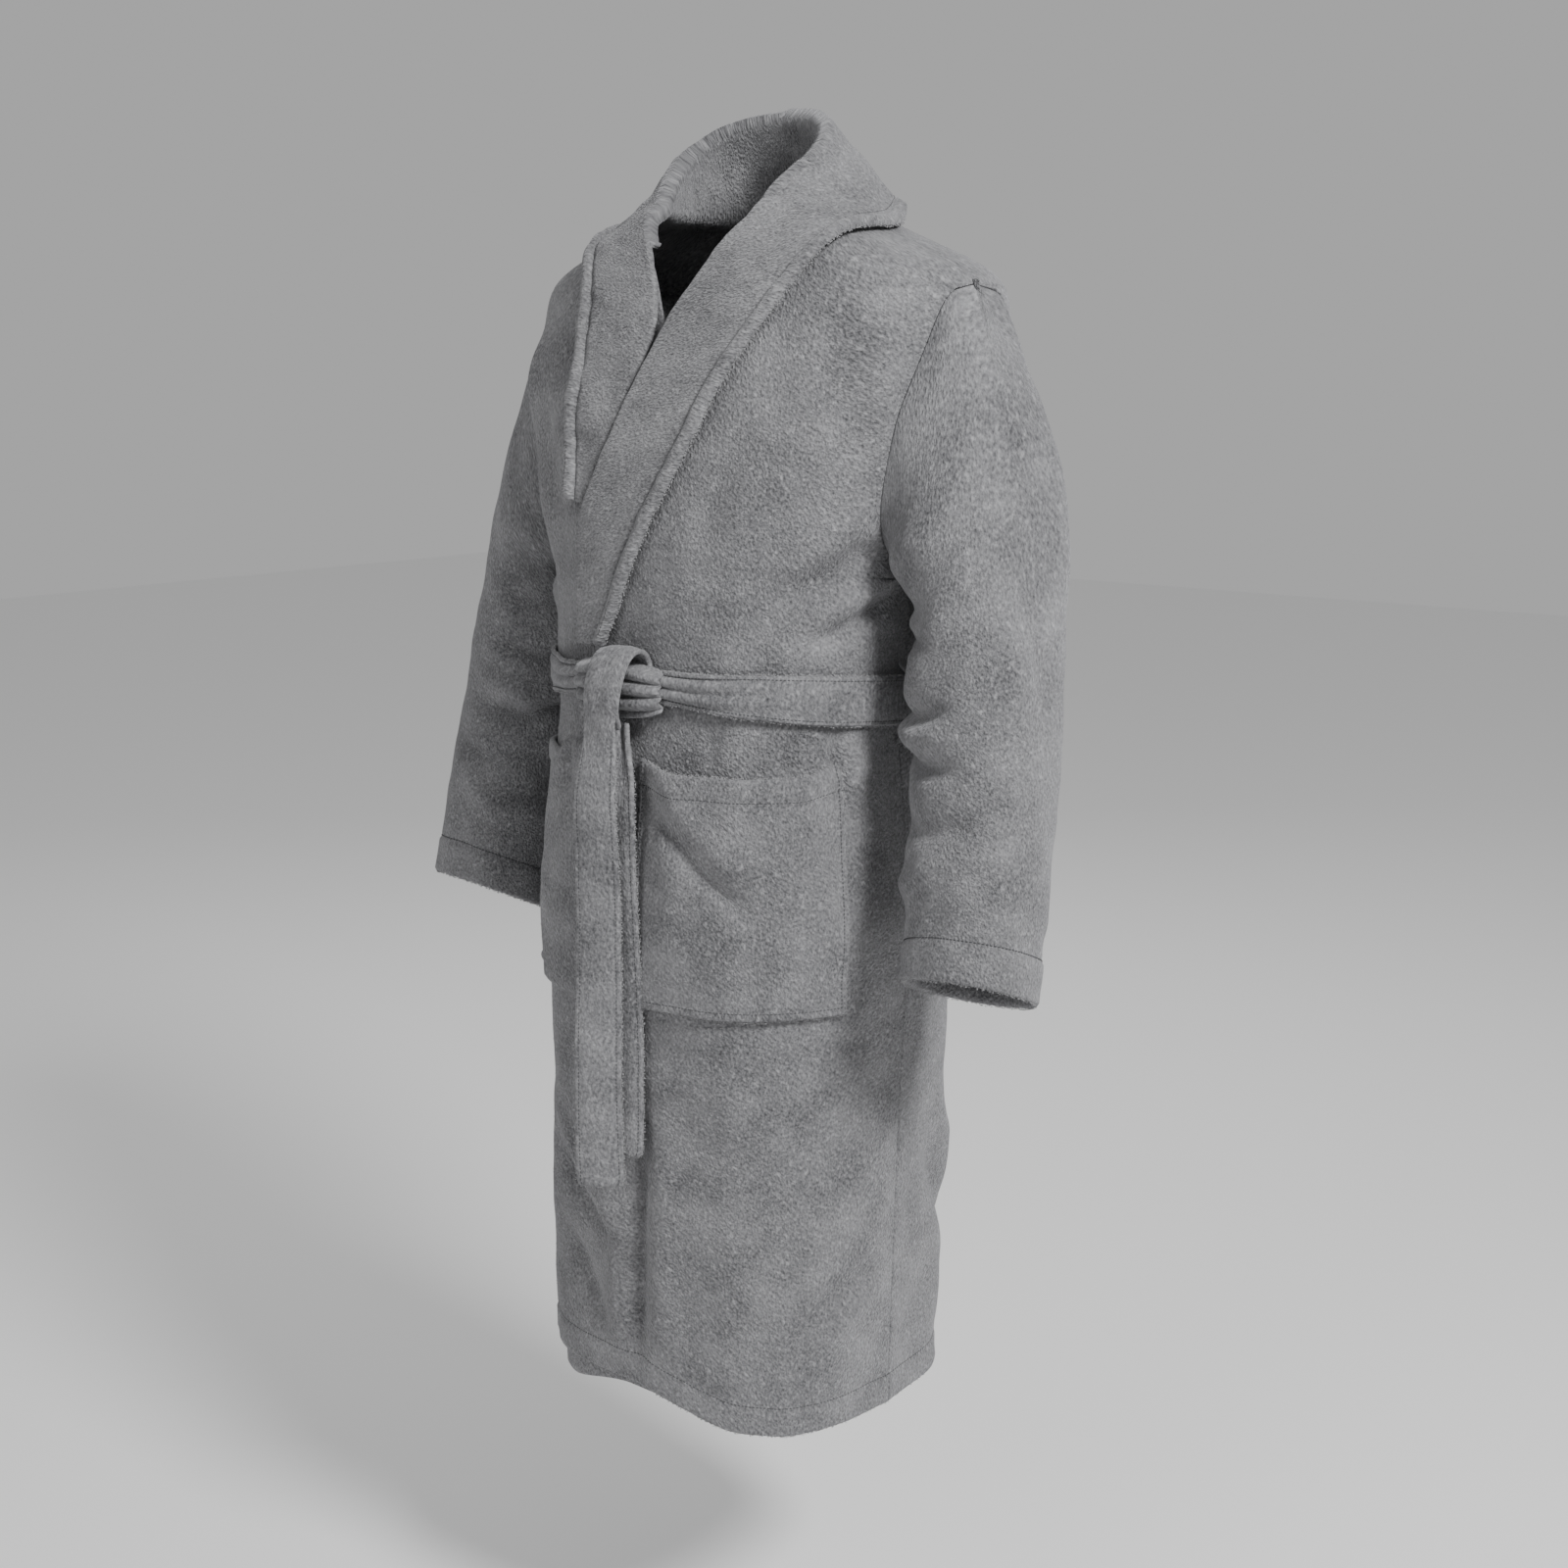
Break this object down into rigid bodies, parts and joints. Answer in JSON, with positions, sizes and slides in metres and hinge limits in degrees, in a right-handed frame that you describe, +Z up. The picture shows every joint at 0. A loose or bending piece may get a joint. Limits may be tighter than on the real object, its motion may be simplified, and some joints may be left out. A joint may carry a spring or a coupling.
{
  "type": "bathrobe",
  "caption": "Knee-length terry bathrobe with a rolled shawl collar, wide set-in sleeves, patch pockets and a tied cloth belt.",
  "frame": {"origin": "underside of the hanger loop's top at the centre back of the neck, where a hook bears", "axes": "+Z up, +X to the wearer's left, +Y to the wearer's back; the front faces -Y"},
  "size_m": [0.7, 0.4013, 1.1795],
  "materials": {
    "terry": "heather grey looped terry pile, matt, fuzzy",
    "collar_terry": "heather grey looped terry pile, doubled",
    "turned_hem": "turned-up allowance of the same terry",
    "belt_terry": "doubled and topstitched strip of the same terry",
    "loop_terry": "narrow sewn loop of the same terry",
    "loop_tape": "narrow woven tape"
  },
  "bodies": {
    "robe": {"back_panel": "terry", "left_front": "terry", "right_front": "terry", "back_hem": "turned_hem", "left_front_hem": "turned_hem", "right_front_hem": "turned_hem", "left_under_collar": "collar_terry", "right_under_collar": "collar_terry", "left_collar": "collar_terry", "right_collar": "collar_terry", "left_pocket": "terry", "right_pocket": "terry", "belt_band": "belt_terry", "belt_knot": "belt_terry", "left_belt_loop": "loop_terry", "right_belt_loop": "loop_terry", "hanger_loop": "loop_tape"},
    "left_arm_cloth": {"left_sleeve": "terry", "left_sleeve_hem": "turned_hem"},
    "right_arm_cloth": {"right_sleeve": "terry", "right_sleeve_hem": "turned_hem"},
    "free_front_edge": {"left_front_overlap": "terry", "left_overlap_hem": "turned_hem"},
    "rear_belt_end": {"belt_rear_tail": "belt_terry"},
    "front_belt_end": {"belt_front_tail": "belt_terry"}
  },
  "joints": [
    {"name": "left_sleeve_raise", "type": "hinge", "parent": "robe", "child": "left_arm_cloth", "pos_m": [0.232, -0.038, -0.0848], "axis": [0, -1, 0], "range_deg": [0, 55]},
    {"name": "right_sleeve_raise", "type": "hinge", "parent": "robe", "child": "right_arm_cloth", "pos_m": [-0.232, -0.038, -0.0848], "axis": [0, 1, 0], "range_deg": [0, 55]},
    {"name": "free_edge_swing", "type": "hinge", "parent": "robe", "child": "free_front_edge", "pos_m": [-0.045, -0.241, -0.8178], "axis": [0, 0, 1], "range_deg": [0, 60]},
    {"name": "rear_belt_end_swing", "type": "hinge", "parent": "robe", "child": "rear_belt_end", "pos_m": [0, -0.252, -0.4658], "axis": [-1, 0, 0], "range_deg": [0, 40]},
    {"name": "front_belt_end_swing", "type": "hinge", "parent": "rear_belt_end", "child": "front_belt_end", "pos_m": [0, -0.252, -0.4658], "axis": [-1, 0, 0], "range_deg": [0, 30]}
  ]
}
